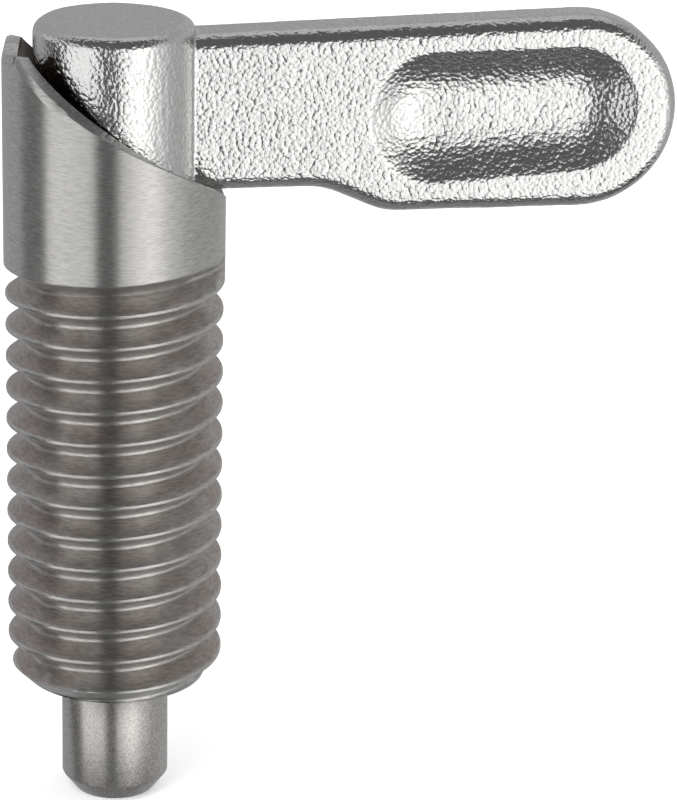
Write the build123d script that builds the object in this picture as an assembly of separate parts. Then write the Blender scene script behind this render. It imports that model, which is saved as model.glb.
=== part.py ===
from build123d import *
import os
from math import asin, atan2, cos, degrees, radians, sin, sqrt

# Cam-action locking bolt in stainless steel: a threaded sleeve holds a spring-loaded locking pin,
# and a cast lever on the pin's upper end rides on the helical rim of the sleeve.
# Half a turn of the lever lifts the pin out of its hole and parks the lever in a notch in the rim.
#
# Frame: +Z up along the sleeve's axis, origin at the centre of the sleeve's lower end face,
# lever along +X with the pin fully out. Millimetres.

# Sleeve
SLEEVE_D = 10.0
THREAD_PITCH = 1.5
THREAD_CREST_FLAT = 0.16
THREAD_ROOT_FLAT = 0.30
THREAD_DEPTH = 0.9
THREAD_END_TURN = 318.0
THREAD_END_HEIGHT = 19.8
END_CHAMFER = 0.85
HUB_BORE_WALL = 1.25
SPRING_BORE_WALL = 1.7
WEB_TOP = 14.1
WEB = 1.0
RUNNING_CLEARANCE = 0.035

# Cam rim: lowest under the lever, highest opposite, with the parking notch there
RIM_LOW = 22.75
RIM_HIGH = 30.05
RIM_CREST_TURN = 156.5
RIM_EARLY_SLOPE = 0.7
NOTCH_FLOOR = 29.2
NOTCH_R = 2.6
RIM_SECTIONS = 12

# Guide bush pressed into the sleeve's lower end
BUSH_WALL = 0.795
BUSH_LENGTH = 2.4
BUSH_CHAMFER = 0.2

# Locking pin
PIN_REACH = 5.9
PIN_TIP_CHAMFER_LENGTH = 0.8
PIN_TIP_CHAMFER_WIDTH = 0.6
GREASE_GROOVE = 0.8
GREASE_GROOVE_DEPTH = 0.2
COLLAR_CLEARANCE = 0.2
COLLAR = 0.8
SHANK_D = 3.0
SHANK_TOP = 20.4

# Spring
WIRE_D = 0.45
SPRING_CLEARANCE = 0.425
SPRING_COILS = 6
WIRE_SIDES = 6

# Lever casting
HUB_CLEARANCE = 0.17
HUB_BOTTOM = 14.5
HUB_TOP = 30.9
HUB_TOP_ROUND = 0.45
HUB_END_CHAMFER = 0.3
ARM = 2.6
ARM_EDGE_ROUND = 0.75
ARM_UNDERSIDE = 23.35
ARM_TOP_AT_AXIS = 30.45
ARM_REACH = 25.5
GRIP_HEIGHT = 9.0
GRIP_MIDDLE = 26.6
STEP_START = 9.3
STEP_END = 12.1
STEP_ROUND = 3.5
DISH_LENGTH = 12.0
DISH_WIDTH = 6.1
DISH_DEPTH = 0.6
DISH_CENTRE = 17.4

# Cross pin that fastens the lever to the locking pin
CROSS_PIN_D = 1.5
CROSS_PIN_HEIGHT = 17.0
CROSS_PIN_CHAMFER = 0.15
CROSS_PIN_SET_BACK = 0.05
SHANK_HOLE_SPARE = 0.3

# Sizes that follow from the sleeve inwards
SLEEVE_R = SLEEVE_D / 2
HUB_BORE_D = SLEEVE_D - 2 * HUB_BORE_WALL
HUB_D = HUB_BORE_D - 2 * HUB_CLEARANCE
SPRING_BORE_D = SLEEVE_D - 2 * SPRING_BORE_WALL
SPRING_MEAN_D = SPRING_BORE_D - 2 * SPRING_CLEARANCE - WIRE_D
COLLAR_D = SPRING_BORE_D - 2 * COLLAR_CLEARANCE
PIN_D = SPRING_BORE_D - 2 * (BUSH_WALL + RUNNING_CLEARANCE)
COLLAR_BOTTOM = BUSH_LENGTH
COLLAR_TOP = COLLAR_BOTTOM + COLLAR
WEB_BOTTOM = WEB_TOP - WEB
CROSS_PIN_LENGTH = HUB_D - 2 * CROSS_PIN_SET_BACK

# How far cutters reach past the surfaces that they cut
CUT = 3.0
VEE_CUT = 0.05


def turned(points):
    """A solid of revolution about Z from its half section, points of radius and height."""
    return revolve(make_face(Plane.XZ * Polyline(*points, close=True)), Axis.Z)


def rim_height(turn):
    """Height of the cam rim at an angle from the lever, both ways alike."""
    share = turn / RIM_CREST_TURN
    rise = RIM_EARLY_SLOPE * share + (1 - RIM_EARLY_SLOPE) * share**2
    return RIM_LOW + (RIM_HIGH - RIM_LOW) * rise


def above_rim(side):
    """The space above one half of the cam rim; every element of its floor is level and radial."""
    sections = []
    for i in range(RIM_SECTIONS + 1):
        turn = RIM_CREST_TURN * i / RIM_SECTIONS
        radial = Plane(origin=(0, 0, 0), x_dir=Vector(1, 0, 0).rotate(Axis.Z, side * turn),
                       z_dir=Vector(0, -1, 0).rotate(Axis.Z, side * turn))
        inner, outer = HUB_BORE_D / 4, SLEEVE_D
        floor, top = rim_height(turn), RIM_HIGH + CUT
        outline = Polyline((inner, floor), (outer, floor), (outer, top), (inner, top), close=True)
        sections.append(radial * make_face(outline))
    return loft(sections)


def thread_groove():
    """The two cutters that leave a right-hand thread: a vee wound on a helix, and its way out."""
    root_r, outer_r = SLEEVE_R - THREAD_DEPTH, SLEEVE_R + VEE_CUT
    flank = (THREAD_PITCH - THREAD_CREST_FLAT - THREAD_ROOT_FLAT) / 2 / THREAD_DEPTH
    half_root = THREAD_ROOT_FLAT / 2
    half_outer = half_root + flank * (outer_r - root_r)
    height = (int(THREAD_END_HEIGHT / THREAD_PITCH) + 1) * THREAD_PITCH
    helix = Helix(THREAD_PITCH, height, root_r)
    vee = Plane.XZ * make_face(
        Polyline((root_r, -half_root), (outer_r, -half_outer), (outer_r, half_outer),
                 (root_r, half_root), close=True)
    )
    wound = sweep(vee, path=helix, is_frenet=True)
    leaving = extrude(Location((0, 0, height)) * vee, amount=SLEEVE_R, dir=helix % 1)
    place = Location((0, 0, THREAD_END_HEIGHT - height), (0, 0, THREAD_END_TURN))
    return place * wound, place * leaving


def threaded_sleeve():
    """Sleeve with its cam rim, outside thread, hub bore, inner web and spring bore."""
    hub_r, spring_r = HUB_BORE_D / 2, SPRING_BORE_D / 2
    shank_r = SHANK_D / 2 + RUNNING_CLEARANCE
    body = Cylinder(SLEEVE_R, RIM_HIGH, align=(Align.CENTER, Align.CENTER, Align.MIN))
    for cutter in thread_groove():
        body -= cutter
    body -= turned([(SLEEVE_R - END_CHAMFER - CUT, -CUT), (SLEEVE_R + CUT, -CUT),
                    (SLEEVE_R + CUT, END_CHAMFER + CUT)])
    body -= turned([(0, -CUT), (spring_r, -CUT), (spring_r, WEB_BOTTOM), (shank_r, WEB_BOTTOM),
                    (shank_r, WEB_TOP), (hub_r, WEB_TOP), (hub_r, RIM_HIGH + CUT), (0, RIM_HIGH + CUT)])
    for side in (1, -1):
        body -= above_rim(side)
    notch = Cylinder(NOTCH_R, SLEEVE_D, rotation=(0, 90, 0))
    return body - Location((-SLEEVE_D / 2, 0, NOTCH_FLOOR + NOTCH_R)) * notch


def guide_bush():
    """Bush pressed in flush with the sleeve's lower end; the locking pin slides in it."""
    inner, outer = PIN_D / 2 + RUNNING_CLEARANCE, SPRING_BORE_D / 2
    return turned([
        (inner, 0), (outer - BUSH_CHAMFER, 0), (outer, BUSH_CHAMFER), (outer, BUSH_LENGTH),
        (inner, BUSH_LENGTH),
    ])


def plunger_pin():
    """Locking pin with its chamfered tip, grease groove, collar and the shank that carries the lever."""
    r, groove_r = PIN_D / 2, PIN_D / 2 - GREASE_GROOVE_DEPTH
    tip_r = r - PIN_TIP_CHAMFER_WIDTH
    shank_r = SHANK_D / 2
    body = turned([
        (0, -PIN_REACH), (tip_r, -PIN_REACH), (r, PIN_TIP_CHAMFER_LENGTH - PIN_REACH), (r, 0),
        (groove_r, 0), (groove_r, GREASE_GROOVE), (r, GREASE_GROOVE), (r, COLLAR_BOTTOM),
        (COLLAR_D / 2, COLLAR_BOTTOM), (COLLAR_D / 2, COLLAR_TOP), (shank_r, COLLAR_TOP),
        (shank_r, SHANK_TOP), (0, SHANK_TOP),
    ])
    return body - cross_hole()


def cross_hole():
    """The hole that the cross pin fills, through hub and shank, square to the lever."""
    hole = Cylinder(CROSS_PIN_D / 2, HUB_D + CUT, rotation=(90, 0, 0))
    return Location((0, 0, CROSS_PIN_HEIGHT)) * hole


def cross_pin():
    """Plain pin with broken edges, just under flush with the hub."""
    body = Cylinder(CROSS_PIN_D / 2, CROSS_PIN_LENGTH)
    body = chamfer(body.edges().filter_by(GeomType.CIRCLE), CROSS_PIN_CHAMFER)
    return Location((0, 0, CROSS_PIN_HEIGHT), (90, 0, 0)) * body


def spring():
    """Compression spring between the collar and the sleeve's web, its wire six-sided to stay light."""
    height = WEB_BOTTOM - COLLAR_TOP - WIRE_D
    helix = Helix(height / SPRING_COILS, height, SPRING_MEAN_D / 2)
    section = Plane(origin=helix @ 0, z_dir=helix % 0) * RegularPolygon(WIRE_D / 2, WIRE_SIDES)
    return Location((0, 0, COLLAR_TOP + WIRE_D / 2)) * sweep(section, path=helix, is_frenet=True)


def arm_outline():
    """Side outline of the arm: narrow by the hub, stepped down to the grip, round at its end."""
    grip_r = GRIP_HEIGHT / 2
    end_x = ARM_REACH - grip_r
    grip_bottom = GRIP_MIDDLE - grip_r
    rise, run = GRIP_MIDDLE - ARM_TOP_AT_AXIS, end_x
    lean = degrees(atan2(rise, run)) + degrees(asin(grip_r / sqrt(rise**2 + run**2)))
    touch = (end_x - grip_r * sin(radians(lean)), GRIP_MIDDLE + grip_r * cos(radians(lean)))
    top = Line((0, ARM_TOP_AT_AXIS), touch)
    end = ThreePointArc(touch, (ARM_REACH, GRIP_MIDDLE), (end_x, grip_bottom))
    under = FilletPolyline((end_x, grip_bottom), (STEP_END, grip_bottom), (STEP_START, ARM_UNDERSIDE),
                           (0, ARM_UNDERSIDE), radius=STEP_ROUND)
    return make_face([top, end, under, Line((0, ARM_UNDERSIDE), (0, ARM_TOP_AT_AXIS))])


def dish(side):
    """Cutters for a shallow round-bottomed thumb recess in one face of the grip."""
    half = DISH_WIDTH / 2
    ball_r = (half**2 + DISH_DEPTH**2) / (2 * DISH_DEPTH)
    straight = DISH_LENGTH - DISH_WIDTH
    middle = Location((DISH_CENTRE, side * (ARM / 2 - DISH_DEPTH + ball_r), GRIP_MIDDLE))
    balls = [middle * Location((end, 0, 0)) * Sphere(ball_r) for end in (-straight / 2, straight / 2)]
    return [middle * Cylinder(ball_r, straight, rotation=(0, 90, 0)), *balls]


def lever():
    """One casting: the round hub in the sleeve and the flat arm with its dished grip."""
    arm = extrude(Plane.XZ * arm_outline(), amount=ARM / 2, both=True)
    sides = arm.faces().filter_by(Axis.Y)
    arm = fillet([e for f in sides for e in f.edges() if e.center().X > 0.1], ARM_EDGE_ROUND)
    for side in (1, -1):
        for cutter in dish(side):
            arm -= cutter
    hub_r = HUB_D / 2
    hub = Location((0, 0, HUB_BOTTOM)) * Cylinder(
        hub_r, HUB_TOP - HUB_BOTTOM, align=(Align.CENTER, Align.CENTER, Align.MIN))
    hub = fillet(hub.edges().filter_by(GeomType.CIRCLE).sort_by(Axis.Z)[-1], HUB_TOP_ROUND)
    hub = chamfer(hub.edges().filter_by(GeomType.CIRCLE).sort_by(Axis.Z)[0], HUB_END_CHAMFER)
    body = hub + arm
    depth = SHANK_TOP + SHANK_HOLE_SPARE - HUB_BOTTOM
    body -= Location((0, 0, HUB_BOTTOM)) * Cylinder(
        SHANK_D / 2, depth, align=(Align.CENTER, Align.CENTER, Align.MIN))
    return body - cross_hole()


def main():
    os.makedirs("parts", exist_ok=True)
    pieces = {
        "threaded_sleeve": threaded_sleeve,
        "guide_bush": guide_bush,
        "plunger_pin": plunger_pin,
        "spring": spring,
        "lever": lever,
        "cross_pin": cross_pin,
    }
    for name, make in pieces.items():
        export_step(make(), f"parts/{name}.step")


main()
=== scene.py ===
"""Looks of a cam-action locking bolt: turned sleeve, ground pin and an investment-cast lever.

Lengths in the classes are in millimetres, as on a workshop drawing, and MM turns them into metres.
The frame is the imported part's: +Z up the sleeve's axis, +X along the lever, origin at the sleeve's end.
"""

import logging
import math
from collections.abc import Iterator, Mapping, Sequence
from contextlib import contextmanager
from dataclasses import dataclass, field
from enum import Enum
from functools import partial
from typing import Any, Optional

import bmesh
import bpy
import numpy as np
from bpy.types import Material, Mesh, Node, NodeSocket, NodeTree, Object
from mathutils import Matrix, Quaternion, Vector


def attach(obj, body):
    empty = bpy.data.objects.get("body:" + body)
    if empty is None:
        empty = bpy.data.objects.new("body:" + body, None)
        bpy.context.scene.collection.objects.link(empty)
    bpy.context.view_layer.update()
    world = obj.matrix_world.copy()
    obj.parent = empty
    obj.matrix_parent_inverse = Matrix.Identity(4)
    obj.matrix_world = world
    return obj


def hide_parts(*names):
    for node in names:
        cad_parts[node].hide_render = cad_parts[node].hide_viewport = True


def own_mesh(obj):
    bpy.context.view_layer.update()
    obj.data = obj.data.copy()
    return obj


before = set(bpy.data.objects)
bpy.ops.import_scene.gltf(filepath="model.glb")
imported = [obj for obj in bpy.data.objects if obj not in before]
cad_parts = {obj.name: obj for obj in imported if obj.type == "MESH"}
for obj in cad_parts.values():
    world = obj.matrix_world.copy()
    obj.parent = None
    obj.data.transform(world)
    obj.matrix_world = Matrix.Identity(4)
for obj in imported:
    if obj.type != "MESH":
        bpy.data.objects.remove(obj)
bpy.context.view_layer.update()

MM = 0.001
# Points closer than this are one point, in metres
WELD = 1e-6
# The values between which nearly all of a noise texture lies
NOISE_SPAN = (0.3, 0.7)
LOG = logging.getLogger("locking_bolt")

# Two values of a pattern, then what they turn into
Ramp = tuple[float, float, float, float]


class Body(Enum):
    """The part's moving bodies."""

    SLEEVE = "sleeve"
    SPRING_END = "spring_end"
    LEVER_AND_PIN = "lever_and_pin"


class Slot(Enum):
    """The record's material slots."""

    TURNED = "turned_stainless"
    GROUND = "ground_stainless"
    CAST = "cast_stainless"
    WIRE = "spring_stainless"


def linear(hex_colour: str) -> tuple[float, float, float, float]:
    """Turns an sRGB hex colour into linear RGBA.

    Args:
        hex_colour: Six hex digits after a hash, such as "#8a8a8e".

    Returns:
        Red, green, blue and an alpha of 1.
    """
    channels = [int(hex_colour[i:i + 2], 16) / 255 for i in (1, 3, 5)]
    curve = [c / 12.92 if c <= 0.04045 else ((c + 0.055) / 1.055) ** 2.4 for c in channels]
    return (curve[0], curve[1], curve[2], 1.0)


def add_node(tree: NodeTree, kind: str, links: Optional[Mapping[Any, Any]] = None,
             **settings: Any) -> Node:
    """Adds one node with its settings and links.

    Args:
        tree: The node tree to add to.
        kind: The node's type name.
        links: Input name or number to a value, or to the output socket that feeds it.
        settings: The node's own properties, set before its inputs.

    Returns:
        The new node.
    """
    node = tree.nodes.new(kind)
    for name, value in settings.items():
        setattr(node, name, value)
    for key, value in (links or {}).items():
        socket = node.inputs[key]
        if isinstance(value, NodeSocket):
            tree.links.new(value, socket)
        else:
            socket.default_value = value
    return node


def calc(tree: NodeTree, operation: str, *values: Any, clamp: bool = False) -> NodeSocket:
    """Adds one step of arithmetic to a tree.

    Args:
        tree: The node tree to add to.
        operation: The Math node's operation.
        values: Numbers or output sockets, in the operation's order.
        clamp: Whether the result is held between 0 and 1.

    Returns:
        The result's socket.
    """
    node = add_node(tree, "ShaderNodeMath", dict(enumerate(values)), operation=operation, use_clamp=clamp)
    return node.outputs[0]


def ramp(tree: NodeTree, value: NodeSocket, start: Any, stop: Any, low: float = 0.0,
         high: float = 1.0, smooth: bool = True) -> NodeSocket:
    """Maps a value from one range to another and holds it at the ends.

    Args:
        tree: The node tree to add to.
        value: What is mapped.
        start: The value that gives low.
        stop: The value that gives high.
        low: Result at start.
        high: Result at stop.
        smooth: Whether the change eases in and out.

    Returns:
        The result's socket.
    """
    kind = "SMOOTHSTEP" if smooth else "LINEAR"
    links = {"Value": value, "From Min": start, "From Max": stop, "To Min": low, "To Max": high}
    return add_node(tree, "ShaderNodeMapRange", links, interpolation_type=kind).outputs[0]


def start_tree(name: str, *sizes: str) -> tuple[NodeTree, dict[str, NodeSocket]]:
    """Starts a Geometry Nodes tree with named inputs.

    Args:
        name: The tree's name.
        sizes: Names of its lengths, angles and amounts.

    Returns:
        The tree, and its inputs by name, Geometry and Material among them.
    """
    tree = bpy.data.node_groups.new(name, "GeometryNodeTree")
    kinds = {"Geometry": "NodeSocketGeometry", "Material": "NodeSocketMaterial"}
    kinds.update((size, "NodeSocketFloat") for size in sizes)
    for label, kind in kinds.items():
        tree.interface.new_socket(label, in_out="INPUT", socket_type=kind)
    tree.interface.new_socket("Geometry", in_out="OUTPUT", socket_type="NodeSocketGeometry")
    inputs = add_node(tree, "NodeGroupInput").outputs
    return tree, {socket.name: socket for socket in inputs if socket.name}


def end_tree(tree: NodeTree, geometry: NodeSocket, material: NodeSocket) -> None:
    """Ends a Geometry Nodes tree: instances made real, in their material.

    Args:
        tree: The tree to end.
        geometry: The finished shape.
        material: The tree's Material input.
    """
    real = add_node(tree, "GeometryNodeRealizeInstances", {"Geometry": geometry})
    links = {"Geometry": real.outputs[0], "Material": material}
    dressed = add_node(tree, "GeometryNodeSetMaterial", links)
    add_node(tree, "NodeGroupOutput", {"Geometry": dressed.outputs[0]})


def bake(piece: Object, tree: Optional[NodeTree] = None,
         values: Optional[Mapping[str, Any]] = None) -> Object:
    """Turns a piece with live modifiers into a plain mesh.

    Args:
        piece: The object, whose modifiers are applied and removed.
        tree: A Geometry Nodes tree to add as its last modifier.
        values: The tree's inputs by name, set by identifier before the first evaluation.

    Returns:
        The same object with its final mesh.
    """
    if tree is not None:
        modifier = piece.modifiers.new("shape", "NODES")
        modifier.node_group = tree
        for item in tree.interface.items_tree:
            if item.item_type == "SOCKET" and item.in_out == "INPUT" and item.name in (values or {}):
                modifier[item.identifier] = values[item.name]
    graph = bpy.context.evaluated_depsgraph_get()
    made = bpy.data.meshes.new_from_object(piece.evaluated_get(graph), depsgraph=graph)
    first = piece.data
    piece.modifiers.clear()
    piece.data = made
    bpy.data.meshes.remove(first)
    made.name = piece.name
    return piece


def new_piece(name: str, points: Sequence[Sequence[float]] = (),
              faces: Sequence[Sequence[int]] = ()) -> Object:
    """Makes a mesh object at the origin.

    Args:
        name: The piece's name.
        points: Its vertices in the part's frame.
        faces: Its faces, as vertex numbers.

    Returns:
        The object, linked into the scene.
    """
    mesh = bpy.data.meshes.new(name)
    mesh.from_pydata([tuple(p) for p in points], [], [tuple(f) for f in faces])
    mesh.update()
    piece = bpy.data.objects.new(name, mesh)
    bpy.context.scene.collection.objects.link(piece)
    return piece


def coordinates(mesh: Mesh) -> np.ndarray:
    """Gives a mesh's vertices as rows of x, y and z."""
    flat = np.empty(len(mesh.vertices) * 3, np.float32)
    mesh.vertices.foreach_get("co", flat)
    return flat.reshape(-1, 3).astype(float)


def place(mesh: Mesh, points: np.ndarray) -> None:
    """Sets a mesh's vertices from rows of x, y and z."""
    mesh.vertices.foreach_set("co", points.astype(np.float32).ravel())
    mesh.update()


@contextmanager
def edited(mesh: Mesh) -> Iterator[bmesh.types.BMesh]:
    """Opens a mesh for editing and writes it back at the end of the with block.

    Args:
        mesh: The mesh to edit.

    Returns:
        Its editable form, in a context manager.
    """
    shape = bmesh.new()
    shape.from_mesh(mesh)
    yield shape
    shape.to_mesh(mesh)
    shape.free()


def tidy(piece: Object, sharp_deg: float = 50.0, weld: float = WELD) -> None:
    """Welds doubles, turns faces outwards and shades the piece smooth up to an angle.

    Args:
        piece: The object to clean.
        sharp_deg: Edges that turn by more than this stay sharp.
        weld: Merge distance in metres.
    """
    with edited(piece.data) as shape:
        bmesh.ops.remove_doubles(shape, verts=shape.verts, dist=weld)
        bmesh.ops.dissolve_degenerate(shape, edges=shape.edges, dist=weld)
        bmesh.ops.recalc_face_normals(shape, faces=shape.faces)
    piece.data.shade_smooth()
    piece.data.set_sharp_from_angle(angle=math.radians(sharp_deg))


def dress(piece: Object, material: Material) -> None:
    """Gives a piece one material all over."""
    piece.data.materials.clear()
    piece.data.materials.append(material)


def hand_over(piece: Object, body: Body, slot: Slot, *replaced: str) -> None:
    """Joins a finished piece to the frame and reports it.

    Args:
        piece: The finished piece.
        body: The body that it rides on.
        slot: The record's slot that its finish comes from; not used.
        replaced: The CAD nodes that it stands for.
    """
    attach(piece, body.value)
    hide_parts(*replaced)
    LOG.info("%s: %d faces on %s", piece.name, len(piece.data.polygons), body.value)


def revolve(rings: Sequence[tuple[Any, Any]],
            turns: np.ndarray) -> tuple[np.ndarray, list[tuple[int, ...]]]:
    """Joins rings about Z into a skin of quads.

    Args:
        rings: Each ring's radius and height in mm, one number or one for each column.
        turns: The columns' angles in radians, once round.

    Returns:
        The points in metres and the faces.
    """
    columns = len(turns)
    rows = []
    for radius, height in rings:
        r, z = np.broadcast_to(radius, columns), np.broadcast_to(height, columns)
        rows.append(np.stack([r * np.cos(turns), r * np.sin(turns), z], axis=1) * MM)
    faces = []
    for row in range(len(rows) - 1):
        low, high = row * columns, (row + 1) * columns
        for i in range(columns):
            j = (i + 1) % columns
            faces.append((low + i, low + j, high + j, high + i))
    return np.concatenate(rows), faces


@dataclass(frozen=True)
class Finish:
    """What every metal finish here shares. Its roughness is given where the pattern is low and high."""

    name: str
    colour: str
    roughness: tuple[float, float]

    def start(self) -> tuple[Material, NodeTree, Node, NodeSocket]:
        """Starts a bare metal.

        Returns:
            The material, its tree, its shader node and the Object coordinates.
        """
        material = bpy.data.materials.new(self.name)
        material.use_nodes = True
        tree = material.node_tree
        shader = tree.nodes["Principled BSDF"]
        shader.inputs["Metallic"].default_value = 1.0
        shader.inputs["Base Color"].default_value = linear(self.colour)
        where = add_node(tree, "ShaderNodeTexCoord").outputs["Object"]
        return material, tree, shader, where

    def around(self, tree: NodeTree, shader: Node, grain: float) -> None:
        """Runs the grain round the axis, so that reflections smear up and down.

        Args:
            tree: The material's tree.
            shader: The shader node.
            grain: How much they smear, 0 to 1.
        """
        quarter_turn = 0.25
        shader.inputs["Anisotropic"].default_value = grain
        shader.inputs["Anisotropic Rotation"].default_value = quarter_turn
        tangent = add_node(tree, "ShaderNodeTangent", direction_type="RADIAL", axis="Z")
        tree.links.new(tangent.outputs[0], shader.inputs["Tangent"])

    def vary(self, tree: NodeTree, shader: Node, pattern: NodeSocket, shades: Ramp,
             colour: Optional[NodeSocket] = None) -> None:
        """Darkens and lightens the colour with a pattern.

        Args:
            tree: The material's tree.
            shader: The shader node.
            pattern: The pattern.
            shades: How the pattern turns into lightness.
            colour: The colour to vary, or None for the finish's own.
        """
        tint = linear(self.colour)[:3] if colour is None else colour
        links = {0: tint, "Scale": ramp(tree, pattern, *shades, smooth=False)}
        varied = add_node(tree, "ShaderNodeVectorMath", links, operation="SCALE")
        tree.links.new(varied.outputs[0], shader.inputs["Base Color"])

    def roughened(self, tree: NodeTree, pattern: NodeSocket, smooth: bool = True) -> NodeSocket:
        """Gives the finish's roughness, which follows a pattern."""
        return ramp(tree, pattern, *NOISE_SPAN, *self.roughness, smooth=smooth)

    def streaks(self, tree: NodeTree, where: NodeSocket, length: float, width: float,
                tilt: tuple[float, float, float] = (0.0, 0.0, 0.0)) -> NodeSocket:
        """Adds tool marks: noise drawn out along X and Y and fine along Z.

        Args:
            tree: The material's tree.
            where: Object coordinates.
            length: Length of a mark in mm.
            width: Width of a mark in mm.
            tilt: Turn of the whole pattern in degrees about X, Y and Z.

        Returns:
            The marks, about 0 to 1.
        """
        turned = add_node(tree, "ShaderNodeMapping",
                          {"Vector": where, "Rotation": tuple(math.radians(a) for a in tilt)})
        scale = (1 / (length * MM), 1 / (length * MM), 1 / (width * MM))
        drawn = add_node(tree, "ShaderNodeMapping", {"Vector": turned.outputs[0], "Scale": scale})
        links = {"Vector": drawn.outputs[0], "Scale": 1.0, "Detail": 3.0, "Roughness": 0.6}
        return add_node(tree, "ShaderNodeTexNoise", links).outputs[0]

    def relief(self, tree: NodeTree, shader: Node, height: NodeSocket,
               depth: float) -> None:
        """Feeds a height to the shader's normal.

        Args:
            tree: The material's tree.
            shader: The shader node.
            height: The height, about 0 to 1.
            depth: What 1 stands for, in mm.
        """
        bump = add_node(tree, "ShaderNodeBump", {"Height": height, "Distance": depth * MM, "Strength": 1.0})
        tree.links.new(bump.outputs[0], shader.inputs["Normal"])


@dataclass(frozen=True)
class TurnedSteel(Finish):
    """Stainless bar turned on a lathe.

    The tool's marks run round the axis, so reflections stay crisp round the sleeve and smear up and
    down it; the thread's upward-facing flanks get a brown film of cutting oil, painted darker as
    shade, and the bore's inward-facing wall above the thread is painted dark as shade.
    """

    name: str = "turned_stainless_steel"
    colour: str = "#cfcecc"
    roughness: tuple[float, float] = (0.30, 0.37)
    shades: Ramp = (0.36, 0.6, 0.76, 1.12)
    grain: float = 0.84
    mark_length: float = 0.45
    mark_width: float = 0.05
    mark_depth: float = 0.0045
    # A brown oil-film tint that is also painted shade: it darkens only the thread's upward-facing flanks
    film_and_shade_colour: str = "#b8afa9"
    film_bottom: float = 0.75
    film_top: float = 20.4
    shade_facing_up: tuple[float, float] = (0.1, 0.5)
    film_cover: Ramp = (0.35, 0.6, 0.6, 1.0)
    film_roughness: float = 0.06
    film_radius: float = 4.80
    crest_radius: float = 4.93
    blotch_size: float = 2.2
    # Painted shade: a near-black brown for the bore's inward-facing wall above the thread, where the gap
    # round the hub is in shade
    bore_shade_colour: str = "#3d332d"
    bore_shade_facing: float = 1.5

    def build(self) -> Material:
        """Builds the turned finish.

        Returns:
            The material.
        """
        material, tree, shader, where = self.start()
        self.around(tree, shader, self.grain)
        marks = self.streaks(tree, where, self.mark_length, self.mark_width)
        self.relief(tree, shader, marks, self.mark_depth)
        axes = add_node(tree, "ShaderNodeSeparateXYZ", {0: where}).outputs
        flat = add_node(tree, "ShaderNodeCombineXYZ", {"X": axes[0], "Y": axes[1]}).outputs[0]
        radius = add_node(tree, "ShaderNodeVectorMath", {0: flat}, operation="LENGTH").outputs["Value"]
        deep = ramp(tree, radius, self.crest_radius * MM, self.film_radius * MM)
        above = calc(tree, "GREATER_THAN", axes[2], self.film_bottom * MM)
        below = calc(tree, "LESS_THAN", axes[2], self.film_top * MM)
        normal = add_node(tree, "ShaderNodeNewGeometry").outputs["Normal"]
        facing = add_node(tree, "ShaderNodeSeparateXYZ", {0: normal}).outputs[2]
        # Painted shade: the film's darker colour is kept to flanks whose normal points up, so these flanks
        # are painted darker than the downward ones
        flank = calc(tree, "MULTIPLY", deep, ramp(tree, facing, *self.shade_facing_up))
        zone = calc(tree, "MULTIPLY", calc(tree, "MULTIPLY", above, below), flank)
        outwards = add_node(tree, "ShaderNodeVectorMath", {0: normal, 1: flat}, operation="DOT_PRODUCT")
        # Painted shade: the inward-facing bore wall above the thread is coloured dark, standing in for the
        # shade in the narrow gap round the hub
        inside = calc(tree, "LESS_THAN", outwards.outputs["Value"], -self.bore_shade_facing * MM)
        bore_shade = calc(tree, "MULTIPLY", inside, calc(tree, "GREATER_THAN", axes[2], self.film_top * MM))
        noise = {"Vector": where, "Scale": 1 / (self.blotch_size * MM), "Detail": 2.0}
        blotch = add_node(tree, "ShaderNodeTexNoise", noise).outputs[0]
        film_and_shade = calc(tree, "MULTIPLY", zone, ramp(tree, blotch, *self.film_cover), clamp=True)
        tone: Any = linear(self.colour)
        # Lays the brown film with its painted shade, then the painted shade of the bore wall, over the
        # steel's colour
        for cover, over in ((film_and_shade, self.film_and_shade_colour), (bore_shade, self.bore_shade_colour)):
            links = {"Factor": cover, 6: tone, 7: linear(over)}
            tone = add_node(tree, "ShaderNodeMix", links, data_type="RGBA").outputs[2]
        self.vary(tree, shader, marks, self.shades, tone)
        rough = self.roughened(tree, marks, smooth=False)
        filmed = calc(tree, "MULTIPLY_ADD", film_and_shade, self.film_roughness, rough)
        tree.links.new(filmed, shader.inputs["Roughness"])
        return material


@dataclass(frozen=True)
class GroundSteel(Finish):
    """Hard stainless ground between wheels: fine slanting scratches with a bright satin between them."""

    name: str = "ground_stainless_steel"
    colour: str = "#c9c7c4"
    roughness: tuple[float, float] = (0.29, 0.38)
    shades: Ramp = (0.38, 0.6, 0.74, 1.2)
    grain: float = 0.6
    mark_length: float = 0.13
    mark_width: float = 0.06
    mark_depth: float = 0.005
    slant: float = 35.0

    def build(self) -> Material:
        """Builds the ground finish.

        Returns:
            The material.
        """
        material, tree, shader, where = self.start()
        self.around(tree, shader, self.grain)
        marks = self.streaks(tree, where, self.mark_length, self.mark_width, (self.slant, self.slant, 0.0))
        self.relief(tree, shader, marks, self.mark_depth)
        self.vary(tree, shader, marks, self.shades)
        tree.links.new(self.roughened(tree, marks, smooth=False), shader.inputs["Roughness"])
        return material


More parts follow.
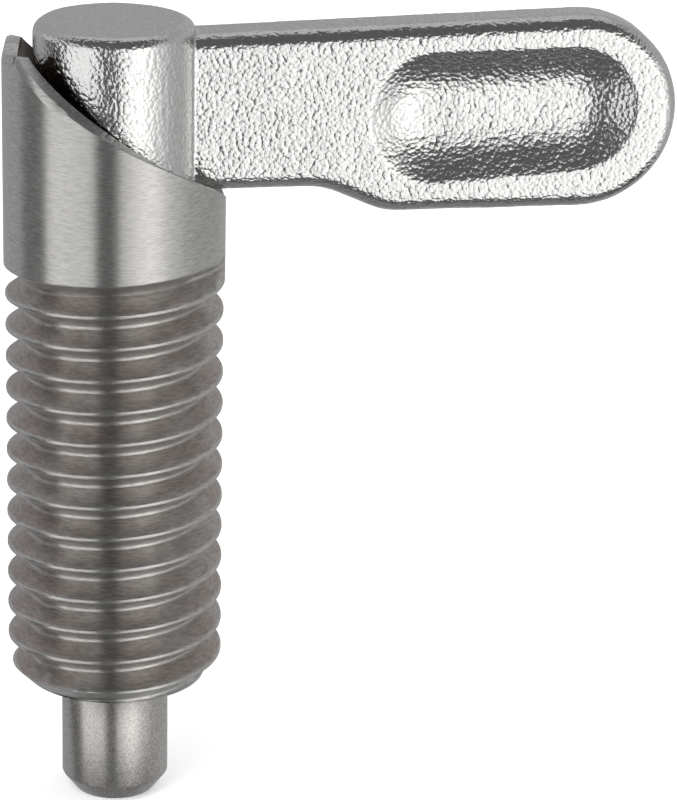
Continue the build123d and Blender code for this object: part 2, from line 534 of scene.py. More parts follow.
@dataclass(frozen=True)
class CastSteel(Finish):
    """Investment-cast stainless, tumbled bright: nearly a mirror on every grain of a pebbled skin."""

    name: str = "investment_cast_stainless_steel"
    colour: str = "#dededd"
    roughness: tuple[float, float] = (0.17, 0.10)
    shades: Ramp = (0.3, 0.6, 0.9, 1.0)
    grain_size: float = 0.14
    grain_depth: float = 0.015
    pebble_size: float = 0.19
    pebble_depth: float = 0.022

    def build(self) -> Material:
        """Builds the cast finish.

        Returns:
            The material.
        """
        material, tree, shader, where = self.start()
        noise = {"Vector": where, "Scale": 1 / (self.grain_size * MM), "Detail": 2.0, "Roughness": 0.55}
        grain = add_node(tree, "ShaderNodeTexNoise", noise).outputs[0]
        cells = {"Vector": where, "Scale": 1 / (self.pebble_size * MM)}
        off = add_node(tree, "ShaderNodeTexVoronoi", cells, feature="F1").outputs["Distance"]
        share = self.pebble_depth / self.grain_depth
        domes = calc(tree, "MULTIPLY_ADD", calc(tree, "MULTIPLY", off, off), -share, grain)
        self.relief(tree, shader, domes, self.grain_depth)
        self.vary(tree, shader, grain, self.shades)
        tree.links.new(self.roughened(tree, grain), shader.inputs["Roughness"])
        return material


@dataclass(frozen=True)
class DrawnWire(Finish):
    """Cold-drawn stainless spring wire: dull grey, with die lines too fine to see as lines."""

    name: str = "drawn_stainless_wire"
    colour: str = "#a9a7a4"
    roughness: tuple[float, float] = (0.30, 0.44)
    line_size: float = 0.3
    line_depth: float = 0.002

    def build(self) -> Material:
        """Builds the drawn finish.

        Returns:
            The material.
        """
        material, tree, shader, where = self.start()
        noise = {"Vector": where, "Scale": 1 / (self.line_size * MM), "Detail": 3.0}
        grain = add_node(tree, "ShaderNodeTexNoise", noise).outputs[0]
        tree.links.new(self.roughened(tree, grain), shader.inputs["Roughness"])
        self.relief(tree, shader, grain, self.line_depth)
        return material


@dataclass
class Sleeve:
    """The threaded sleeve with its cam rim, and the bush in its lower end.

    row_places are the thread sheet's rows across one pitch, in mm from the root's middle.
    """

    radius: float = 5.0
    crest_radius: float = 4.94
    pitch: float = 1.5
    thread_depth: float = 0.84
    crest_flat: float = 0.18
    root_flat: float = 0.2
    corner: float = 0.07
    last_turn: float = 318.0
    last_height: float = 19.8
    run_out: float = 34.0
    thread_top: float = 20.7
    end_radius: float = 4.15
    rim_low: float = 22.75
    rim_high: float = 30.05
    rim_crest: float = 156.5
    early_slope: float = 0.7
    crest_round: float = 0.3
    entry_start: float = 26.6
    entry_slope: float = 0.19
    notch_floor: float = 29.2
    notch_radius: float = 2.6
    bore_radius: float = 3.75
    shank_bore_radius: float = 1.535
    spring_bore_radius: float = 3.3
    spring_bore_row: float = 6.0
    web_top: float = 14.1
    web_bottom: float = 13.1
    edge_break: float = 0.05
    facet_width: float = 0.12
    facet_height: float = 0.4
    facet_turns: tuple[float, float] = (121.0, 156.5)
    row_places: tuple[float, ...] = (
        -0.75, -0.70, -0.66, -0.61, -0.17, -0.11, -0.05, 0.05, 0.11, 0.17, 0.61, 0.66, 0.70)
    land_blend: float = 0.1
    coarse_deg: float = 2.5
    fine_deg: float = 0.6
    fine_zone: tuple[float, float] = (145.0, 215.0)
    plain_rows: int = 9
    rim_rows: int = 4
    bore_rows: int = 12
    bore_bunching: float = 1.5
    sharp_deg: float = 38.0
    finish: Finish = field(default_factory=TurnedSteel)

    def columns(self) -> np.ndarray:
        """Gives the columns' angles in degrees, closer together at the notch."""
        low, high = self.fine_zone
        return np.concatenate([
            np.arange(0.0, low, self.coarse_deg),
            np.arange(low, high, self.fine_deg),
            np.arange(high, 360.0, self.coarse_deg),
        ])

    def rim(self, turns_deg: np.ndarray, radius: Any) -> np.ndarray:
        """Height of the rim's top face.

        Args:
            turns_deg: Angles from the lever's rest place in degrees.
            radius: Distance from the axis in mm, one number or one for each angle.

        Returns:
            Heights in mm.
        """
        away = np.minimum(turns_deg, 360.0 - turns_deg)
        share = np.minimum(away / self.rim_crest, 1.0)
        climb = self.early_slope * share + (1 - self.early_slope) * share ** 2
        slope = self.rim_low + (self.rim_high - self.rim_low) * climb
        across = radius * np.sin(np.radians(turns_deg))
        deep = np.sqrt(np.maximum(self.notch_radius ** 2 - across ** 2, 0.0))
        notch = self.notch_floor + self.notch_radius - deep
        opposite = (away > 90.0) & (np.abs(across) < self.notch_radius)
        near = np.clip(0.5 + (slope - notch) / (2 * self.crest_round), 0.0, 1.0)
        rounded = slope + (notch - slope) * near - self.crest_round * near * (1 - near)
        return np.where(opposite, rounded, slope)

    def bore(self, height: Any) -> Any:
        """Radius of the upper bore at a height in mm: it opens slightly towards the rim."""
        return self.bore_radius + self.entry_slope * np.maximum(height - self.entry_start, 0.0)

    def thread_tree(self) -> NodeTree:
        """Builds the tree that winds a flat sheet round the axis and cuts the thread into it.

        Returns:
            The Geometry Nodes tree. The sheet's X is the turn in radians and its Y the height in
            metres less the pitch's share of the turn.
        """
        tree, given = start_tree(
            "wound_thread", "Plain Radius", "Crest Radius", "Depth", "Pitch", "Crest Flat", "Root Flat",
            "Corner", "Last Turn", "Last Height", "Run Out", "Top", "End Radius", "Land Blend")
        step = partial(calc, tree)
        position = add_node(tree, "GeometryNodeInputPosition").outputs[0]
        turn, along, _ = add_node(tree, "ShaderNodeSeparateXYZ", {0: position}).outputs
        pitch, tau = given["Pitch"], 2 * math.pi
        share = step("DIVIDE", turn, tau)
        free = step("ADD", along, step("MULTIPLY", pitch, share))
        height = step("MAXIMUM", step("MINIMUM", free, given["Top"]), 0.0)
        last_share = step("DIVIDE", given["Last Turn"], 360.0)
        last = step("SUBTRACT", given["Last Height"], step("MULTIPLY", pitch, last_share))
        level = step("DIVIDE", step("SUBTRACT", along, last), pitch)
        nearest = step("MAXIMUM", step("MULTIPLY", step("ROUND", level), -1.0), 0.0)
        off = step("MULTIPLY", step("ABSOLUTE", step("ADD", level, nearest)), pitch)
        left = step("SUBTRACT", last_share, share)
        wound = step("ADD", left, nearest)
        out = step("DIVIDE", given["Run Out"], 360.0)
        clear = step("ADD", given["Depth"], given["Corner"])
        lift = step("MULTIPLY", clear, ramp(tree, wound, 0.0, step("MULTIPLY", out, -1.0), smooth=False))
        over = step("MAXIMUM", step("MULTIPLY", step("CEIL", level), -1.0), -1.0)
        blend = given["Land Blend"]
        land_mix = ramp(tree, step("ADD", left, over), step("MULTIPLY", blend, -1.0), blend)
        drop = step("MULTIPLY", step("SUBTRACT", given["Plain Radius"], given["Crest Radius"]), land_mix)
        land = step("SUBTRACT", given["Plain Radius"], drop)
        half = step("MULTIPLY", pitch, 0.5)
        crest_edge = step("SUBTRACT", half, step("MULTIPLY", given["Crest Flat"], 0.5))
        root_edge = step("MULTIPLY", given["Root Flat"], 0.5)
        width = step("SUBTRACT", crest_edge, root_edge)
        down = step("MULTIPLY", given["Depth"], step("DIVIDE", step("SUBTRACT", crest_edge, off), width))
        held = step("SMOOTH_MIN", down, given["Depth"], given["Corner"])
        cut = step("SMOOTH_MAX", step("SUBTRACT", held, lift), 0.0, given["Corner"])
        thread = step("SUBTRACT", land, cut)
        radius = step("MINIMUM", thread, step("ADD", height, given["End Radius"]))
        spot = {"X": step("MULTIPLY", radius, step("COSINE", turn)),
                "Y": step("MULTIPLY", radius, step("SINE", turn)), "Z": height}
        wound_to = add_node(tree, "ShaderNodeCombineXYZ", spot).outputs[0]
        links = {"Geometry": given["Geometry"], "Position": wound_to}
        moved = add_node(tree, "GeometryNodeSetPosition", links)
        links = {"Geometry": moved.outputs[0], "Distance": WELD}
        welded = add_node(tree, "GeometryNodeMergeByDistance", links)
        end_tree(tree, welded.outputs[0], given["Material"])
        return tree

    def thread(self, material: Material) -> Object:
        """Makes the outside of the sleeve up to the plain zone.

        Args:
            material: The sleeve's material.

        Returns:
            An open tube from the lower end to thread_top.
        """
        turns = np.radians(np.append(self.columns(), 360.0))
        last = self.last_height - self.pitch * self.last_turn / 360.0
        below = math.ceil((last + self.pitch) / self.pitch) + 1
        above = math.ceil((self.thread_top - last) / self.pitch) + 1
        rows = [last + k * self.pitch + offset for k in range(-below, above) for offset in self.row_places]
        columns = len(turns)
        points = [(turn, row * MM, 0.0) for row in rows for turn in turns]
        faces = [(r * columns + i, r * columns + i + 1, (r + 1) * columns + i + 1, (r + 1) * columns + i)
                 for r in range(len(rows) - 1) for i in range(columns - 1)]
        sizes = {
            "Plain Radius": self.radius * MM, "Crest Radius": self.crest_radius * MM,
            "Depth": self.thread_depth * MM, "Pitch": self.pitch * MM, "Crest Flat": self.crest_flat * MM,
            "Root Flat": self.root_flat * MM, "Corner": self.corner * MM, "Last Turn": self.last_turn,
            "Last Height": self.last_height * MM, "Run Out": self.run_out, "Top": self.thread_top * MM,
            "End Radius": self.end_radius * MM, "Land Blend": self.land_blend, "Material": material,
        }
        return bake(new_piece("turned_sleeve", points, faces), self.thread_tree(), sizes)

    def upper_rings(self, turns_deg: np.ndarray) -> list[tuple[Any, Any]]:
        """Gives the rings of the plain zone, the rim, the bore and the inner web.

        Args:
            turns_deg: The columns' angles in degrees.

        Returns:
            Radius and height of each ring in mm.
        """
        away = np.minimum(turns_deg, 360.0 - turns_deg)
        low, high = self.facet_turns
        filed = (away > low) & (away < high + 1.0)
        inset = np.where(filed, self.facet_width, self.edge_break)
        drop = np.where(filed, self.facet_height, self.edge_break)
        outer = self.rim(turns_deg, self.radius) - drop
        below = outer - self.edge_break
        rings = [(self.radius, self.thread_top + (below - self.thread_top) * share)
                 for share in np.linspace(0, 1, self.plain_rows)]
        rings.append((self.radius, outer))
        inner = self.bore(self.rim(turns_deg, self.bore_radius))
        for share in np.linspace(0, 1, self.rim_rows):
            radius = (self.radius - inset) * (1 - share) + (inner + self.edge_break) * share
            rings.append((radius, self.rim(turns_deg, radius)))
        lip = self.rim(turns_deg, inner) - self.edge_break
        for share in np.linspace(0, 1, self.bore_rows) ** self.bore_bunching:
            height = lip + (self.web_top - lip) * share
            rings.append((self.bore(height), height))
        rings += [(self.shank_bore_radius, height) for height in (self.web_top, self.web_bottom)]
        rings += [(self.spring_bore_radius, height)
                  for height in (self.web_bottom, self.spring_bore_row, 0.0)]
        return rings

    def build(self) -> None:
        """Builds the sleeve and hands it over, and gives the bush its material."""
        material = self.finish.build()
        turns_deg = self.columns()
        piece = self.thread(material)
        points, faces = revolve(self.upper_rings(turns_deg), np.radians(turns_deg))
        seam = 2 * WELD
        with edited(piece.data) as shape:
            corners = [shape.verts.new(p) for p in points]
            for face in faces:
                shape.faces.new([corners[i] for i in face])
            bmesh.ops.remove_doubles(shape, verts=shape.verts, dist=seam)
            open_edges = [e for e in shape.edges if e.is_boundary]
            end_face = [e for e in open_edges if max(v.co.z for v in e.verts) < WELD]
            LOG.info("sleeve: %d open edges, %d of them at the end face", len(open_edges), len(end_face))
            bmesh.ops.bridge_loops(shape, edges=end_face)
        tidy(piece, self.sharp_deg, seam)
        dress(piece, material)
        hand_over(piece, Body.SLEEVE, Slot.TURNED, "threaded_sleeve")
        dress(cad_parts["guide_bush"], material)


@dataclass
class LockingPin:
    """The ground pin: chamfered tip, grease groove, collar, and the shank inside the lever's hub."""

    radius: float = 2.47
    tip_radius: float = 1.87
    tip: float = -5.9
    tip_edge: float = -5.1
    edge_break: float = 0.04
    groove: tuple[float, float] = (0.0, 0.8)
    groove_radius: float = 2.27
    collar: tuple[float, float] = (2.4, 3.2)
    collar_radius: float = 3.1
    shank_radius: float = 1.5
    shank_top: float = 20.4
    columns: int = 160
    finish: Finish = field(default_factory=GroundSteel)

    def build(self) -> None:
        """Builds the pin and hands it over, and gives the cross pin the same finish."""
        e, r = self.edge_break, self.radius
        low, high = self.groove
        under, over = self.collar
        rings = [
            (0.0, self.tip), (self.tip_radius * 0.5, self.tip), (self.tip_radius - e, self.tip),
            (self.tip_radius, self.tip + e), (r - e, self.tip_edge - e), (r, self.tip_edge + e),
            (r, self.tip_edge * 0.5), (r, low - e), (r - e, low), (self.groove_radius, low),
            (self.groove_radius, high), (r - e, high), (r, high + e), (r, under),
            (self.collar_radius - e, under), (self.collar_radius, under + e),
            (self.collar_radius, over - e), (self.collar_radius - e, over),
            (self.shank_radius, over), (self.shank_radius, self.shank_top - e),
            (self.shank_radius - e, self.shank_top), (0.0, self.shank_top),
        ]
        turns = np.arange(self.columns) * 2 * np.pi / self.columns
        piece = new_piece("ground_pin", *revolve(rings, turns))
        tidy(piece)
        material = self.finish.build()
        dress(piece, material)
        hand_over(piece, Body.LEVER_AND_PIN, Slot.GROUND, "plunger_pin")
        dress(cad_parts["cross_pin"], material)


@dataclass
class Spring:
    """The compression spring between the pin's collar and the sleeve's web."""

    bottom: float = 3.2
    top: float = 13.1
    mean_radius: float = 2.65
    wire_radius: float = 0.225
    coils: float = 6.0
    steps_per_coil: int = 36
    wire_sides: int = 12
    squeezed: float = 0.1434
    finish: Finish = field(default_factory=DrawnWire)

    def tree(self) -> NodeTree:
        """Builds the tree that winds the wire.

        Returns:
            The Geometry Nodes tree.
        """
        tree, given = start_tree("wound_spring", "Mean Radius", "Wire Radius", "Bottom", "Top", "Coils")
        height = calc(tree, "SUBTRACT", calc(tree, "SUBTRACT", given["Top"], given["Bottom"]),
                      calc(tree, "MULTIPLY", given["Wire Radius"], 2.0))
        helix = add_node(tree, "GeometryNodeCurveSpiral", {
            "Resolution": self.steps_per_coil, "Rotations": given["Coils"],
            "Start Radius": given["Mean Radius"], "End Radius": given["Mean Radius"], "Height": height})
        section = add_node(tree, "GeometryNodeCurvePrimitiveCircle",
                           {"Resolution": self.wire_sides, "Radius": given["Wire Radius"]})
        wire = add_node(tree, "GeometryNodeCurveToMesh", {
            "Curve": helix.outputs[0], "Profile Curve": section.outputs[0], "Fill Caps": True})
        raise_by = add_node(tree, "ShaderNodeCombineXYZ",
                            {"Z": calc(tree, "ADD", given["Bottom"], given["Wire Radius"])})
        moved = add_node(tree, "GeometryNodeSetPosition",
                         {"Geometry": wire.outputs[0], "Offset": raise_by.outputs[0]})
        end_tree(tree, moved.outputs[0], given["Material"])
        return tree

    def build(self) -> None:
        """Builds the spring, hands it over and gives it a mesh of its own."""
        material = self.finish.build()
        sizes = {"Mean Radius": self.mean_radius * MM, "Wire Radius": self.wire_radius * MM,
                 "Bottom": self.bottom * MM, "Top": self.top * MM, "Coils": self.coils,
                 "Material": material}
        piece = bake(new_piece("coil_spring"), self.tree(), sizes)
        tidy(piece)
        hand_over(piece, Body.SPRING_END, Slot.WIRE, "spring")
        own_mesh(piece)


@dataclass
class Lever:
    """The cast lever: round hub in the sleeve, and the flat arm with its dished grip.

    dish_left and dish_right are the centres (x, z) and radii of the dish's ends. dish_upper and
    dish_lower are each wall's slope, and how far in from the edge it stays straight and ends.
    """

    hub_radius: float = 3.62
    hub_bottom: float = 14.5
    hub_top: float = 31.07
    hub_round: float = 0.55
    foot_round: float = 0.3
    arm: float = 2.6
    arm_round: float = 0.75
    underside: float = 23.35
    top_at_axis: float = 30.45
    reach: float = 25.48
    grip_height: float = 8.96
    grip_middle: float = 26.6
    step_start: float = 9.3
    step_end: float = 12.1
    step_round: float = 3.5
    junction: float = 0.1
    shank_radius: float = 1.5
    shank_top: float = 20.7
    cross_radius: float = 0.76
    cross_height: float = 17.0
    dish_left: tuple[float, float, float] = (14.4, 26.55, 3.05)
    dish_right: tuple[float, float, float] = (20.65, 26.8, 2.9)
    dish_upper: tuple[float, float, float] = (0.42, 0.75, 2.35)
    dish_lower: tuple[float, float, float] = (0.36, 0.95, 2.6)
    dish_lip: float = 0.02
    end_points: int = 40
    round_points: int = 9
    far: float = 9.0
    hidden_below: float = 0.8
    hidden_beside: float = 0.2
    sharp_deg: float = 75.0
    cell: float = 0.195
    pebble_size: float = 0.26
    pebble_depth: float = 0.036
    pebble_detail: float = 1.5
    wave_size: float = 1.6
    wave_depth: float = 0.03
    skin_middle: float = 0.4
    finish: Finish = field(default_factory=CastSteel)

    def outline(self) -> np.ndarray:
        """Gives the arm's side outline.

        Returns:
            Corners as rows of x and z in mm, once round, from the axis over the top.
        """
        grip_r = self.grip_height / 2
        end_x = self.reach - grip_r
        bottom = self.grip_middle - grip_r
        rise = self.grip_middle - self.top_at_axis
        lean = math.atan2(rise, end_x) + math.asin(grip_r / math.hypot(rise, end_x))
        sweep = np.linspace(math.pi / 2 + lean, -math.pi / 2, self.end_points)
        end = np.stack([end_x + grip_r * np.cos(sweep), self.grip_middle + grip_r * np.sin(sweep)], axis=1)
        step = self.rounded([(end_x, bottom), (self.step_end, bottom), (self.step_start, self.underside),
                             (0.0, self.underside)])
        return np.concatenate([[(0.0, self.top_at_axis)], end, step[1:]])

    def rounded(self, corners: Sequence[tuple[float, float]]) -> np.ndarray:
        """Rounds the inner corners of an open line with the step's radius.

        Args:
            corners: The line's corners.

        Returns:
            The rounded line's points.
        """
        line = [np.array(corners[0])]
        for before, corner, after in zip(corners, corners[1:], corners[2:]):
            here = np.array(corner)
            back = np.array(before) - here
            ahead = np.array(after) - here
            back, ahead = back / np.linalg.norm(back), ahead / np.linalg.norm(ahead)
            half = math.acos(float(np.clip(back @ ahead, -1, 1))) / 2
            start = here + back * self.step_round / math.tan(half)
            stop = here + ahead * self.step_round / math.tan(half)
            centre = here + (back + ahead) / np.linalg.norm(back + ahead) * self.step_round / math.sin(half)
            for share in np.linspace(0, 1, self.round_points):
                spoke = (start - centre) * (1 - share) + (stop - centre) * share
                line.append(centre + spoke / np.linalg.norm(spoke) * self.step_round)
        line.append(np.array(corners[-1]))
        return np.array(line)

    def from_outline(self, x: np.ndarray, z: np.ndarray) -> np.ndarray:
        """Distance from the arm's side outline.

        Args:
            x: Places along the arm in mm.
            z: Heights in mm.

        Returns:
            Distances in mm, negative inside.
        """
        corners = self.outline()
        nearest = np.full(x.shape, np.inf)
        inside = np.zeros(x.shape, bool)
        for (ax, az), (bx, bz) in zip(corners, np.roll(corners, -1, axis=0)):
            ux, uz = bx - ax, bz - az
            share = np.clip(((x - ax) * ux + (z - az) * uz) / (ux * ux + uz * uz), 0, 1)
            nearest = np.minimum(nearest, (x - ax - share * ux) ** 2 + (z - az - share * uz) ** 2)
            if az != bz:
                crosses = (az > z) != (bz > z)
                inside ^= crosses & (x < ax + (z - az) * ux / uz)
        return np.where(inside, -1.0, 1.0) * np.sqrt(nearest)

    def dish(self, x: np.ndarray, z: np.ndarray) -> np.ndarray:
        """Depth of the thumb recess below the arm's face.

        Args:
            x: Places along the arm in mm.
            z: Heights in mm.

        Returns:
            Depths in mm, 0 outside the recess.
        """
        (lx, lz, lr), (rx, rz, rr) = self.dish_left, self.dish_right
        ux, uz = rx - lx, rz - lz
        share = np.clip(((x - lx) * ux + (z - lz) * uz) / (ux * ux + uz * uz), 0, 1)
        above = z - lz - share * uz
        off = np.hypot(x - lx - share * ux, above)
        inside = lr + (rr - lr) * share - off
        upper = (1 + above / np.maximum(off, 1e-6)) / 2
        deep = 0.0
        for weight, (slope, straight, whole) in ((upper, self.dish_upper), (1 - upper, self.dish_lower)):
            bend = whole - straight
            past = np.clip(inside - straight, 0, bend)
            wall = slope * (np.minimum(inside, straight) + past - past ** 2 / (2 * bend))
            deep = deep + weight * wall
        return (deep + np.sqrt(deep ** 2 + self.dish_lip ** 2)) / 2

    def round_edge(self, first: np.ndarray, second: np.ndarray, radius: Any) -> np.ndarray:
        """Distance from a form that two surfaces bound, with a rounded edge where they meet.

        Args:
            first: Distances from one surface in mm, negative inside.
            second: Distances from the other.
            radius: The edge's radius in mm, one number or one for each point.

        Returns:
            Distances in mm, negative inside.
        """
        q = np.stack([first + radius, second + radius])
        return np.linalg.norm(np.maximum(q, 0), axis=0) + np.minimum(q.max(axis=0), 0) - radius

    def distance(self, p: np.ndarray) -> np.ndarray:
        """Distance from the lever's smooth surface, before its skin.

        Args:
            p: Points as rows of x, y and z in mm.

        Returns:
            Distances in mm, negative inside the metal.
        """
        x, y, z = p.T
        across = np.hypot(x, y)
        middle = (self.hub_top + self.hub_bottom) / 2
        tall = (self.hub_top - self.hub_bottom) / 2
        edge = np.where(z > middle, self.hub_round, self.foot_round)
        hub = self.round_edge(across - self.hub_radius, np.abs(z - middle) - tall, edge)
        arm = np.full(hub.shape, self.far)
        near = x > self.hub_radius / 2
        flat = self.from_outline(x[near], z[near])
        face = np.abs(y[near]) + self.dish(x[near], z[near]) - self.arm / 2
        arm[near] = self.round_edge(flat, face, self.arm_round)
        blend = np.maximum(self.junction - np.abs(hub - arm), 0) / self.junction
        metal = np.minimum(hub, arm) - blend ** 2 * self.junction / 4
        shank = np.maximum(across - self.shank_radius, z - self.shank_top)
        cross = np.hypot(x, z - self.cross_height) - self.cross_radius
        return np.maximum(metal, -np.minimum(shank, cross))

    def settle(self, p: np.ndarray) -> np.ndarray:
        """Slides points on to the lever's smooth surface.

        Args:
            p: Points near the surface, as rows of x, y and z in mm.

        Returns:
            The moved points.
        """
        passes, small, longest, flattest = 3, 0.01, 0.15, 0.25
        for _ in range(passes):
            here = self.distance(p)
            slope = np.stack([self.distance(p + small * axis) - here for axis in np.eye(3)], axis=1) / small
            size = np.maximum((slope ** 2).sum(axis=1), flattest)
            p = p - np.clip(here / size, -longest, longest)[:, None] * slope
        return p

    def blank(self) -> Object:
        """Makes the lever's smooth form: the solid, remeshed evenly and finer where it shows.

        Returns:
            The piece, in metres.
        """
        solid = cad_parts["lever"].data.copy()
        place(solid, coordinates(solid) / MM)
        piece = bpy.data.objects.new("cast_lever", solid)
        bpy.context.scene.collection.objects.link(piece)
        with edited(solid) as shape:
            bmesh.ops.remove_doubles(shape, verts=shape.verts, dist=WELD / MM)
        remesh = piece.modifiers.new("even", "REMESH")
        remesh.mode = "VOXEL"
        remesh.voxel_size = self.cell
        bake(piece)
        place(piece.data, self.settle(coordinates(piece.data)))
        with edited(piece.data) as shape:
            seen = [f for f in shape.faces if self.shows(f.calc_center_median())]
            edges = list({e for f in seen for e in f.edges})
            bmesh.ops.subdivide_edges(shape, edges=edges, cuts=1, use_grid_fill=True)
        place(piece.data, self.settle(coordinates(piece.data)) * MM)
        return piece

    def shows(self, spot: Vector) -> bool:
        """Tells whether a spot in mm is outside the sleeve."""
        return spot.z > self.underside - self.hidden_below or spot.x > self.hub_radius + self.hidden_beside

    def skin_tree(self) -> NodeTree:
        """Builds the tree that sinks the casting's pebbled skin into the smooth form.

        Returns:
            The Geometry Nodes tree.
        """
        tree, given = start_tree(
            "cast_skin", "Pebble Size", "Pebble Depth", "Wave Size", "Wave Depth", "Middle")
        where = add_node(tree, "GeometryNodeInputPosition").outputs[0]
        layers = []
        for name, detail in (("Pebble", self.pebble_detail), ("Wave", 0.0)):
            scale = calc(tree, "DIVIDE", 1.0, given[f"{name} Size"])
            links = {"Vector": where, "Scale": scale, "Detail": detail}
            noise = add_node(tree, "ShaderNodeTexNoise", links)
            level = calc(tree, "SUBTRACT", noise.outputs[0], given["Middle"])
            layers.append(calc(tree, "MULTIPLY", level, given[f"{name} Depth"]))
        sunk = calc(tree, "MULTIPLY", calc(tree, "ADD", *layers), -1.0)
        inwards = add_node(tree, "ShaderNodeVectorMath", {
            0: add_node(tree, "GeometryNodeInputNormal").outputs[0], "Scale": sunk}, operation="SCALE")
        moved = add_node(tree, "GeometryNodeSetPosition",
                         {"Geometry": given["Geometry"], "Offset": inwards.outputs[0]})
        end_tree(tree, moved.outputs[0], given["Material"])
        return tree

    def build(self) -> None:
        """Builds the lever and hands it over."""
        material = self.finish.build()
        piece = self.blank()
        sizes = {"Pebble Size": self.pebble_size * MM, "Pebble Depth": self.pebble_depth * MM,
                 "Wave Size": self.wave_size * MM, "Wave Depth": self.wave_depth * MM,
                 "Middle": self.skin_middle, "Material": material}
        bake(piece, self.skin_tree(), sizes)
        tidy(piece, self.sharp_deg)
        dress(piece, material)
        hand_over(piece, Body.LEVER_AND_PIN, Slot.CAST, "lever")


@dataclass(frozen=True)
class Card:
    """A soft-edged patch of the studio's tent, in degrees round from the camera and above the horizon."""

    sides: tuple[float, float]
    heights: tuple[float, float]
    level: float
    tint: str = "#ffffff"
    soft: float = 4.0
    fade: Optional[float] = None

    def light(self) -> tuple[float, ...]:
        """Gives the card's light as linear RGBA."""
        return tuple(c * self.level for c in linear(self.tint)[:3]) + (1.0,)


@dataclass(frozen=True)
class Lamp:
    """A square soft lamp: its place and side in mm, and its power in watts."""

    name: str
    spot: tuple[float, float, float]
    side: float
    watts: float


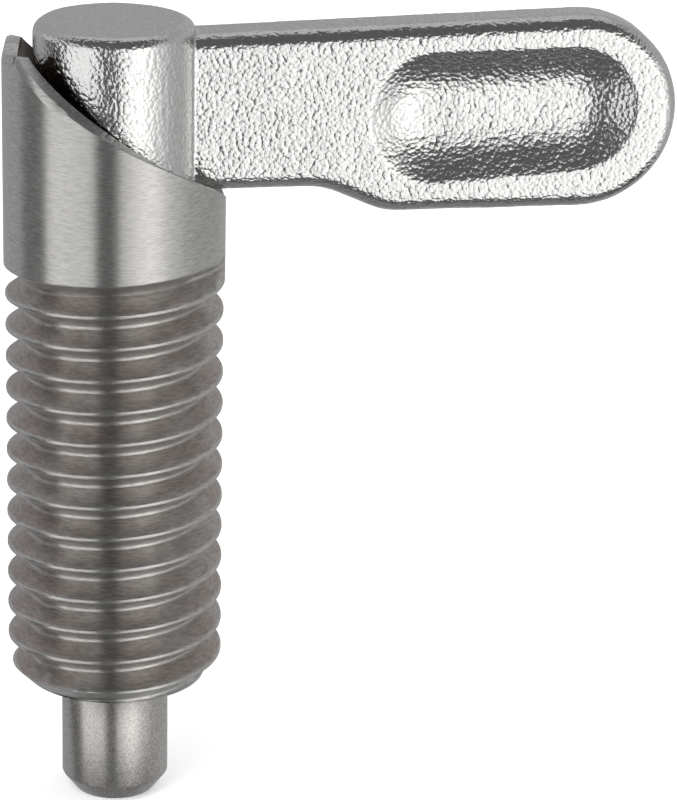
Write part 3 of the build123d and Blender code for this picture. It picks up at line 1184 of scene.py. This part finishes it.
@dataclass
class Studio:
    """Camera, tent, lamps and floor."""

    azimuth: float = -9.5
    elevation: float = 19.43
    distance: float = 175.33
    aim: tuple[float, float, float] = (10.08, -1.69, 13.47)
    roll: float = 1.139
    lens: float = 172.84
    sensor: float = 36.0
    view_range: tuple[float, float] = (0.01, 10.0)
    floor_height: float = -5.9
    floor_size: float = 1400.0
    paper: str = "#cfcfcf"
    paper_glow: float = 0.3
    lamp_aim: tuple[float, float, float] = (10.0, 0.0, 10.0)
    soft_lamps: tuple[Lamp, ...] = (
        Lamp("key_lamp", (-250, -300, 420), 320, 2.2),
        Lamp("fill_lamp", (300, 120, 380), 380, 1.2),
    )
    base: Card = Card((-180, 180), (-90, 90), 0.41, "#fcfcff")
    cards: tuple[Card, ...] = (
        Card((-200, 200), (52, 100), 0.6, "#fdfdff", 12.0),
        Card((-200, 200), (-100, -62), 0.24),
        Card((-110, 110), (-62, -36), 0.11),
        Card((-88, 88), (8, 84), 0.11, "#ffffff", 8.0),
        Card((-106, -71), (-62, 8), 0.14),
        Card((-120, -42), (9, 24), 0.7, "#ffffff", 6.0),
        Card((60, 200), (-38, 30), 0.46, "#ffffff", 8.0),
        Card((-71, -16), (-36, 8), 1.12),
        Card((8, 70), (-36, 8), 1.15, fade=60.0),
        Card((26, 54), (-36, 8), 1.6, "#fffefc", 16.0),
        Card((-16, 8), (-62, 70), 0.12),
    )

    def camera(self) -> None:
        """Puts the camera at the photograph's viewing angle."""
        a, e = math.radians(self.azimuth), math.radians(self.elevation)
        back = Vector((math.sin(a) * math.cos(e), -math.cos(a) * math.cos(e), math.sin(e)))
        data = bpy.data.cameras.new("camera")
        data.lens = self.lens
        data.sensor_width = self.sensor
        data.clip_start, data.clip_end = self.view_range
        camera = bpy.data.objects.new("camera", data)
        bpy.context.scene.collection.objects.link(camera)
        camera.rotation_mode = "QUATERNION"
        camera.location = (Vector(self.aim) + back * self.distance) * MM
        tilt = Quaternion((0.0, 0.0, 1.0), math.radians(self.roll))
        camera.rotation_quaternion = (-back).to_track_quat("-Z", "Y") @ tilt
        bpy.context.scene.camera = camera

    def tent(self) -> None:
        """Builds the world: white behind the object, and soft cards for the metal to reflect."""
        world = bpy.data.worlds.new("tent")
        bpy.context.scene.world = world
        world.use_nodes = True
        tree = world.node_tree
        tree.nodes.clear()
        way = add_node(tree, "ShaderNodeTexCoord").outputs["Generated"]
        a = math.radians(self.azimuth)
        ahead, right = [
            add_node(tree, "ShaderNodeVectorMath", {0: way, 1: axis}, operation="DOT_PRODUCT").outputs[1]
            for axis in ((math.sin(a), -math.cos(a), 0.0), (math.cos(a), math.sin(a), 0.0))]
        side = calc(tree, "DEGREES", calc(tree, "ARCTAN2", right, ahead))
        up = add_node(tree, "ShaderNodeSeparateXYZ", {0: way}).outputs[2]
        height = calc(tree, "DEGREES", calc(tree, "ARCSINE", up))
        light: Any = self.base.light()
        for card in self.cards:
            mask: Any = 1.0
            fade = card.soft if card.fade is None else card.fade
            edges = ((side, card.sides[0], card.soft), (side, card.sides[1], -fade),
                     (height, card.heights[0], card.soft), (height, card.heights[1], -card.soft))
            for value, edge, soft in edges:
                mask = calc(tree, "MULTIPLY", mask, ramp(tree, value, edge - soft / 2, edge + soft / 2))
            links = {"Factor": mask, 6: light, 7: card.light()}
            light = add_node(tree, "ShaderNodeMix", links, data_type="RGBA").outputs[2]
        path = add_node(tree, "ShaderNodeLightPath").outputs
        cards = add_node(tree, "ShaderNodeBackground", {"Color": light, "Strength": 1.0})
        white = add_node(tree, "ShaderNodeBackground", {"Color": linear("#ffffff"), "Strength": 1.0})
        shown = add_node(tree, "ShaderNodeMixShader", {
            0: path["Is Glossy Ray"], 1: white.outputs[0], 2: cards.outputs[0]})
        add_node(tree, "ShaderNodeOutputWorld", {"Surface": shown.outputs[0]})

    def floor(self) -> None:
        """Lays the pale floor, which keeps the object's shadow."""
        half, z = self.floor_size / 2 * MM, self.floor_height * MM
        points = [(-half, -half, z), (half, -half, z), (half, half, z), (-half, half, z)]
        floor = new_piece("floor", points, [(0, 1, 2, 3)])
        material = bpy.data.materials.new("white_paper_sweep")
        material.use_nodes = True
        tree = material.node_tree
        tree.nodes.clear()
        paper = add_node(tree, "ShaderNodeBsdfDiffuse", {"Color": linear(self.paper)})
        links = {"Color": linear("#ffffff"), "Strength": self.paper_glow}
        glow = add_node(tree, "ShaderNodeEmission", links)
        both = add_node(tree, "ShaderNodeAddShader", {0: paper.outputs[0], 1: glow.outputs[0]})
        add_node(tree, "ShaderNodeOutputMaterial", {"Surface": both.outputs[0]})
        dress(floor, material)
        floor.visible_glossy = False

    def lamps(self) -> None:
        """Hangs the soft lamps, which give the floor its shadow."""
        for soft in self.soft_lamps:
            data = bpy.data.lights.new(soft.name, "AREA")
            data.size = soft.side * MM
            data.energy = soft.watts
            lamp = bpy.data.objects.new(soft.name, data)
            bpy.context.scene.collection.objects.link(lamp)
            lamp.location = Vector(soft.spot) * MM
            lamp.rotation_mode = "QUATERNION"
            lamp.rotation_quaternion = (Vector(self.lamp_aim) - Vector(soft.spot)).to_track_quat("-Z", "Y")
            lamp.visible_glossy = False

    def build(self) -> None:
        """Sets up the whole studio."""
        bpy.context.scene.view_settings.view_transform = "Standard"
        self.camera()
        self.tent()
        self.lamps()
        self.floor()


def main() -> None:
    """Builds the studio and the part's pieces in order."""
    logging.basicConfig(level=logging.INFO, format="%(message)s")
    Studio().build()
    for assembly in (Sleeve(), LockingPin(), Spring(), Lever()):
        assembly.build()


if __name__ == "__main__":
    main()
